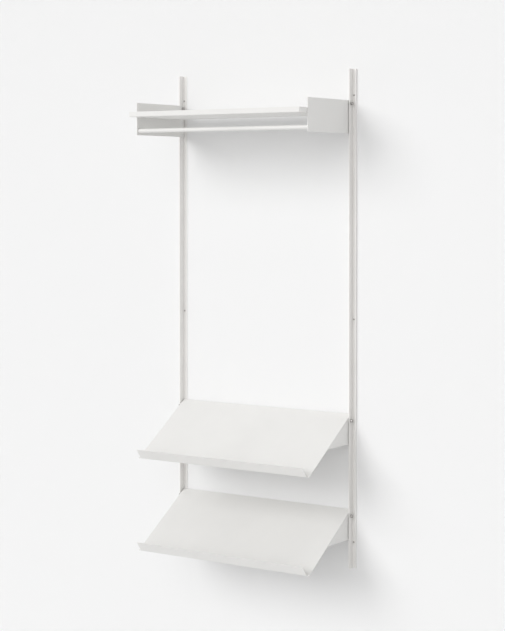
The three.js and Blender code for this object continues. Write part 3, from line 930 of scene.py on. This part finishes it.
def make_tray(sizes, fasteners):
    """The hat shelf tray: a floor with four lips folded up and an open seam at each corner."""
    low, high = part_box("hat_shelf_tray")
    bend = sizes.tray_bend
    tray = start_block("hat_shelf_tray_sheet", low, high)
    delete_faces(tray, lambda place, normal: normal.z > ALIGNED)
    round_edges(
        tray, lambda place, along: near(place.z, low.z) or abs(along.z) > ALIGNED, bend,
        CORNER_SEGMENTS)
    add_modifier(
        tray, "SOLIDIFY", thickness=sizes.tray_thickness, offset=-1, use_even_offset=True,
        use_quality_normals=True)
    soften(tray, sizes.edge_radius)
    seam = sizes.tray_seam
    reach = 2 * sizes.tray_thickness
    for x in (low.x, high.x):
        for y in (low.y + bend, high.y - bend - seam):
            slit = start_block("seam", (x - reach, y, low.z + bend), (x + reach, y + seam, high.z + MM))
            combine(tray, "DIFFERENCE", slit)
        for row in NUT_ROWS:
            drill(tray, fasteners.stud_hole, x - reach, x + reach, "X", centre_of(f"left_{row}_tray_nut"))
    return tray


def make_hex_nut(sizes):
    """A hexagon nut with chamfered corners, centred on its bore along Z."""
    half = sizes.nut_height / 2
    corner_radius = sizes.nut_across_flats / 2 / math.cos(math.pi / 6)
    nut = start_round("hex_nut", corner_radius, -half, half, "Z", sides=6)
    turned = start_round("turned", corner_radius, -half, half, "Z")
    round_edges(turned, lambda place, along: near(abs(place.z), half), sizes.nut_chamfer)
    combine(nut, "INTERSECT", turned)
    drill(nut, sizes.stud_hole, -2 * half, 2 * half, "Z")
    return nut


class CLOSET_OT_build_hat_brackets(Operator):
    """Models the left hat bracket with its weld studs and mirrors it for the right"""

    bl_idname = "closet.build_hat_brackets"
    bl_label = "Hat Brackets"

    def execute(self, context):
        scene = context.scene
        left = make_left_hat_bracket(scene.closet_sheets, scene.closet_fasteners)
        finish_pair(left, "left_hat_bracket")
        return {"FINISHED"}


class CLOSET_OT_build_tray(Operator):
    """Models the folded tray of the hat shelf"""

    bl_idname = "closet.build_tray"
    bl_label = "Hat Shelf Tray"

    def execute(self, context):
        scene = context.scene
        finish_piece(make_tray(scene.closet_sheets, scene.closet_fasteners), "hat_shelf_tray")
        return {"FINISHED"}


class CLOSET_OT_build_hex_nuts(Operator):
    """Models one hexagon nut and copies it to every weld stud of the tray and the shoe shelves"""

    bl_idname = "closet.build_hex_nuts"
    bl_label = "Hexagon Nuts"

    def execute(self, context):
        turns = {}
        for side in SIDES:
            for row in NUT_ROWS:
                turns[f"{side}_{row}_tray_nut"] = TURN_TO_AXIS["X"]
                for level in SHOE_LEVELS:
                    turns[f"{level}_shoe_{side}_{row}_nut"] = (shoe_slope(level), 0, 0)
        seats = {node: (centre_of(node), turn) for node, turn in turns.items()}
        finish_copies(make_hex_nut(context.scene.closet_fasteners), "hex", seats)
        return {"FINISHED"}


# Clothes rod

def make_rod(sizes):
    """The clothes rod: a tube with softened ends."""
    low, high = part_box("clothes_rod")
    rod = start_round(
        "clothes_rod_tube", (high.z - low.z) / 2, low.x, high.x, "X", centre_of("clothes_rod"),
        ROD_SIDES, ends="NOTHING")
    add_modifier(rod, "SOLIDIFY", thickness=sizes.rod_wall, offset=-1, use_even_offset=True)
    soften(rod, sizes.edge_radius)
    return rod


def make_spigot(sizes):
    """A spigot with its seat at X = 0, chamfered and hollowed a little at its other end."""
    low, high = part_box("left_rod_spigot")
    tip = high.x - low.x
    chamfer = sizes.spigot_chamfer
    spigot = start_round("rod_spigot", (high.z - low.z) / 2, 0, tip, sides=SPIGOT_SIDES)
    round_edges(spigot, lambda place, along: near(place.x, tip), chamfer)
    step_in(spigot, lambda place, normal: normal.x > ALIGNED, chamfer, (-chamfer, 0, 0))
    return spigot


class CLOSET_OT_build_clothes_rod(Operator):
    """Models the clothes rod as a tube with softened ends"""

    bl_idname = "closet.build_clothes_rod"
    bl_label = "Clothes Rod"

    def execute(self, context):
        finish_piece(make_rod(context.scene.closet_sheets), "clothes_rod")
        return {"FINISHED"}


class CLOSET_OT_build_rod_spigots(Operator):
    """Models one chamfered spigot and places it in each end of the clothes rod"""

    bl_idname = "closet.build_rod_spigots"
    bl_label = "Rod Spigots"

    def execute(self, context):
        seats = {node: seat_of(node) for node in ("left_rod_spigot", "right_rod_spigot")}
        finish_copies(make_spigot(context.scene.closet_fasteners), "turned", seats)
        return {"FINISHED"}


# Shoe shelves

def shoe_slope(level):
    """The angle at which a shoe shelf slopes down to the front."""
    axis = MOUNTS[f"{level}_shoe_shelf_surface"]["axis"]
    return math.atan2(-axis[1], axis[2])


def shoe_back_edge(level):
    """The Y and Z place of a shoe sheet's top back edge, from its surface and its highest point."""
    mount = MOUNTS[f"{level}_shoe_shelf_surface"]
    back_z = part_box(f"{level}_shoe_shelf")[1].z
    back_y = mount["pos_m"][1] + (back_z - mount["pos_m"][2]) / math.tan(shoe_slope(level))
    return back_y, back_z


def shoe_sheet_length(sizes):
    """The length of a shoe sheet along its slope, up to the front of its lip."""
    slope = shoe_slope("upper")
    lip_rise = sizes.shoe_lip_height - sizes.shoe_thickness
    reach = shoe_back_edge("upper")[0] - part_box("upper_shoe_shelf")[0].y
    return (reach - lip_rise * math.sin(slope)) / math.cos(slope)


def on_upper_slope(point):
    """A point of the closet, as distances along and above the upper shoe sheet's top back edge."""
    slope = shoe_slope("upper")
    back_y, back_z = shoe_back_edge("upper")
    down, up = point.y - back_y, point.z - back_z
    return Vector((
        point.x,
        down * math.cos(slope) + up * math.sin(slope),
        up * math.cos(slope) - down * math.sin(slope)))


def make_shoe_sheet(sizes, fasteners):
    """The upper shoe sheet, flat on its back edge at the origin, with its lip folded up at the front."""
    low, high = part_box("upper_shoe_shelf")
    half = sizes.shoe_thickness / 2
    lip_start = low.x + sizes.shoe_lip_inset
    lip_end = high.x - sizes.shoe_lip_inset
    fold = half - shoe_sheet_length(sizes)
    bend = sizes.shoe_bend - half
    relief_back = fold + bend + sizes.relief_depth
    relief = sizes.relief_width

    def in_lip(place, direction):
        return near(place.y, fold) and lip_start < place.x < lip_end

    sheet = start_sheet("upper_shoe_sheet", (low.x, fold), (high.x, 0), -half)
    for x in (lip_start - relief, lip_start, lip_end, lip_end + relief):
        slice_across(sheet, (x, 0, 0), (1, 0, 0))
    slice_across(sheet, (0, relief_back, 0), (0, 1, 0))
    delete_faces(
        sheet, lambda place, normal: place.y < relief_back and (
            near(place.x, lip_start - relief / 2) or near(place.x, lip_end + relief / 2)))
    push_edges(sheet, in_lip, (0, 0, sizes.shoe_lip_height - half))
    push_edges(
        sheet, lambda place, along: near(place.y, fold) and near(place.z, -half)
        and not in_lip(place, along), (0, -half, 0))
    round_edges(
        sheet, lambda place, along: in_lip(place, along) and near(place.z, -half), bend, BEND_SEGMENTS)
    add_modifier(
        sheet, "SOLIDIFY", thickness=sizes.shoe_thickness, offset=0, use_even_offset=True,
        use_quality_normals=True)
    face_outwards(sheet)
    soften(sheet, sizes.edge_radius)
    for side in SIDES:
        for row in NUT_ROWS:
            spot = on_upper_slope(centre_of(f"upper_shoe_{side}_{row}_nut"))
            tip = spot.z - sizes.seat_gap - fasteners.nut_height / 2 - fasteners.shank_chamfer
            weld_stud(sheet, fasteners, -half, tip, "Z", spot)
    return sheet


def make_flange(sizes, fasteners, low, high):
    """The left upper shoe bracket's flange, flat under a sheet whose back edge is at the origin."""
    under = -(sizes.shoe_thickness + sizes.seat_gap)
    front = -(sizes.flange_start + sizes.flange_length)
    flange = start_block(
        "flange", (low, front, under - sizes.plate_thickness), (high, -sizes.flange_start, under))
    round_edges(
        flange, lambda place, along: abs(along.z) > ALIGNED and near(place.x, high),
        sizes.flange_corner, BEND_SEGMENTS)
    soften(flange, sizes.edge_radius)
    for row in NUT_ROWS:
        spot = on_upper_slope(centre_of(f"upper_shoe_left_{row}_nut"))
        drill(flange, fasteners.stud_hole, 2 * under - sizes.plate_thickness, MM, "Z", spot)
    return flange


def make_left_shoe_bracket(sizes, fasteners):
    """The left upper shoe bracket: a triangular plate with a heel and a flange under the sheet."""
    low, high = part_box("left_upper_shoe_bracket")
    slope = shoe_slope("upper")
    back_edge = Vector((0, *shoe_back_edge("upper")))
    inside = low.x + sizes.plate_thickness
    plate_back = high.y - sizes.heel_reach
    heel_top = low.z + sizes.shoe_heel_height
    above = Vector((0, -math.sin(slope), math.cos(slope)))
    plate = start_block(
        "left_upper_shoe_bracket_plate", low, (inside, plate_back, high.z + sizes.plate_corner))
    slice_across(
        plate, back_edge - above * (sizes.shoe_thickness + sizes.seat_gap), above, keep_below=True)
    add_heel(plate, heel_top, sizes.heel_reach)
    round_edges(
        plate, lambda place, along: abs(along.x) > ALIGNED and (
            near(place.y, high.y) or (near(place.y, plate_back) and place.z > heel_top + MM)
            or (near(place.z, low.z) and place.y < plate_back - MM)),
        sizes.plate_corner, CORNER_SEGMENTS)
    soften(plate, sizes.edge_radius)
    flange = make_flange(sizes, fasteners, (low.x + inside) / 2, high.x)
    flange.rotation_euler = (slope, 0, 0)
    flange.location = back_edge
    combine(plate, "UNION", settle(flange))
    bolt = centre_of("left_upper_shoe_thumb_bolt")
    drill(plate, fasteners.bolt_hole, low.x - MM, inside + MM, "X", bolt, BORE_SIDES)
    return plate


class CLOSET_OT_build_shoe_sheets(Operator):
    """Models one folded shoe sheet with its weld studs and places it at both levels"""

    bl_idname = "closet.build_shoe_sheets"
    bl_label = "Shoe Sheets"

    def execute(self, context):
        scene = context.scene
        seats = {
            f"{level}_shoe_shelf": ((0, *shoe_back_edge(level)), (shoe_slope(level), 0, 0))
            for level in SHOE_LEVELS}
        master = make_shoe_sheet(scene.closet_sheets, scene.closet_fasteners)
        finish_copies(master, "folded_sheet", seats)
        return {"FINISHED"}


class CLOSET_OT_build_shoe_brackets(Operator):
    """Models the left upper shoe bracket, and copies and mirrors it for the other three"""

    bl_idname = "closet.build_shoe_brackets"
    bl_label = "Shoe Brackets"

    def execute(self, context):
        scene = context.scene
        master = make_left_shoe_bracket(scene.closet_sheets, scene.closet_fasteners)
        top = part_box("left_upper_shoe_bracket")[1].z
        for level in SHOE_LEVELS:
            node = f"left_{level}_shoe_bracket"
            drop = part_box(node)[1].z - top
            finish_pair(placed_copy(master, f"{node}_folded", (0, 0, drop)), node)
        bpy.data.objects.remove(master)
        return {"FINISHED"}


# Stage

def mixed_shader(tree, share, first, second):
    """One shader or another, by a share."""
    return add_node(tree, "ShaderNodeMixShader", {0: share, 1: first, 2: second}).outputs["Shader"]


def plain_material(name, tint, see_through_back):
    """A matt colour for the stage, and where asked one that can't be seen from behind."""
    material, tree, shader = start_material(name)
    feed(tree, shader, {"Base Color": (*tint, 1), "Roughness": 0.9, "Specular IOR Level": 0.1})
    if see_through_back:
        back = add_node(tree, "ShaderNodeNewGeometry").outputs["Backfacing"]
        clear = add_node(tree, "ShaderNodeBsdfTransparent").outputs["BSDF"]
        either = mixed_shader(tree, back, shader.outputs["BSDF"], clear)
        feed(tree, tree.get_output_node("ALL"), {"Surface": either})
    return material


def add_stage_plane(name, place, turn, material):
    """A large plain face that isn't part of the object."""
    bpy.ops.object.select_all(action="DESELECT")
    bpy.ops.mesh.primitive_plane_add(size=STAGE_SIZE, location=place, rotation=turn)
    plane = named(bpy.context.object, name)
    plane.data.materials.append(material)


def add_distant_light(name, way, strength, width):
    """A wide distant lamp, which lights the whole wall alike."""
    way = Vector(way).normalized()
    bpy.ops.object.select_all(action="DESELECT")
    bpy.ops.object.light_add(type="SUN", location=LAMP_DISTANCE * way)
    lamp = bpy.context.object
    lamp.name = name
    lamp.data.energy = strength
    lamp.data.angle = width
    lamp.rotation_euler = way.to_track_quat("Z", "Y").to_euler()


def light_world(settings):
    """Even light from all round, and a pale background where the camera or a gloss sees it."""
    world = bpy.data.worlds.new("studio")
    bpy.context.scene.world = world
    world.use_nodes = True
    tree = world.node_tree
    tree.nodes.clear()
    even = add_node(tree, "ShaderNodeBackground", {"Color": WHITE, "Strength": settings.sky_level})
    seen = add_node(tree, "ShaderNodeBackground", {"Color": (*settings.wall, 1), "Strength": 1.0})
    path = add_node(tree, "ShaderNodeLightPath").outputs
    camera_or_gloss = maths(tree, "MAXIMUM", path["Is Camera Ray"], path["Is Glossy Ray"])
    shown = maths(tree, "MAXIMUM", camera_or_gloss, path["Is Transmission Ray"])
    either = mixed_shader(tree, shown, even.outputs["Background"], seen.outputs["Background"])
    add_node(tree, "ShaderNodeOutputWorld", {"Surface": either})


def add_camera(settings):
    """The camera at the photograph's viewing angle."""
    camera_data = bpy.data.cameras.new("camera")
    camera_data.lens = settings.lens
    camera_data.shift_x = settings.shift_side
    camera_data.shift_y = settings.shift_up
    camera = bpy.data.objects.new("camera", camera_data)
    bpy.context.collection.objects.link(camera)
    camera.location = (settings.camera_x, settings.camera_y, settings.camera_z)
    camera.rotation_euler = (QUARTER_TURN - settings.camera_tilt, 0, settings.camera_yaw)
    bpy.context.scene.camera = camera


class CLOSET_OT_build_stage(Operator):
    """Adds the plain wall and floor, the soft lights and the camera"""

    bl_idname = "closet.build_stage"
    bl_label = "Stage"

    def execute(self, context):
        settings = context.scene.closet_stage
        low, high = cad_box
        middle = (low + high) / 2
        floor_z = low.z - settings.floor_below
        add_stage_plane(
            "wall", (middle.x, high.y - WALL_OVERLAP, floor_z + STAGE_SIZE / 2), (QUARTER_TURN, 0, 0),
            plain_material("wall_paint", settings.wall, see_through_back=True))
        add_stage_plane(
            "floor", (middle.x, middle.y, floor_z), UNTURNED,
            plain_material("floor_paint", settings.floor, see_through_back=False))
        add_distant_light("key", settings.key_way, settings.key_strength, settings.key_width)
        add_distant_light("fill", settings.fill_way, settings.fill_strength, settings.fill_width)
        light_world(settings)
        add_camera(settings)
        context.scene.view_settings.view_transform = "Standard"
        return {"FINISHED"}


BUILDERS = (
    CLOSET_OT_build_rails,
    CLOSET_OT_build_wall_screws,
    CLOSET_OT_build_thumb_bolts,
    CLOSET_OT_build_thumb_nuts,
    CLOSET_OT_build_spacers,
    CLOSET_OT_build_hat_brackets,
    CLOSET_OT_build_tray,
    CLOSET_OT_build_clothes_rod,
    CLOSET_OT_build_rod_spigots,
    CLOSET_OT_build_shoe_sheets,
    CLOSET_OT_build_shoe_brackets,
    CLOSET_OT_build_hex_nuts,
    CLOSET_OT_build_stage,
)

SETTINGS = {
    "closet_rails": RailSizes,
    "closet_fasteners": FastenerSizes,
    "closet_sheets": SheetSizes,
    "closet_finishes": Finishes,
    "closet_stage": StageSettings,
}


class CLOSET_PT_builders(Panel):
    """Lists the closet's builders in the sidebar"""

    bl_idname = "CLOSET_PT_builders"
    bl_label = "Closet"
    bl_space_type = "VIEW_3D"
    bl_region_type = "UI"
    bl_category = "Closet"

    def draw(self, context):
        for builder in BUILDERS:
            self.layout.operator(builder.bl_idname)


def register():
    """Registers the settings, the builders and the panel."""
    for name, group in SETTINGS.items():
        bpy.utils.register_class(group)
        setattr(bpy.types.Scene, name, PointerProperty(type=group))
    for builder in BUILDERS:
        bpy.utils.register_class(builder)
    bpy.utils.register_class(CLOSET_PT_builders)


def unregister():
    """Takes back what register did."""
    bpy.utils.unregister_class(CLOSET_PT_builders)
    for builder in reversed(BUILDERS):
        bpy.utils.unregister_class(builder)
    for name, group in reversed(SETTINGS.items()):
        delattr(bpy.types.Scene, name)
        bpy.utils.unregister_class(group)


def main():
    """Builds every piece and the stage."""
    register()
    for builder in BUILDERS:
        group, operator = builder.bl_idname.split(".")
        getattr(getattr(bpy.ops, group), operator)()


if __name__ == "__main__":
    main()
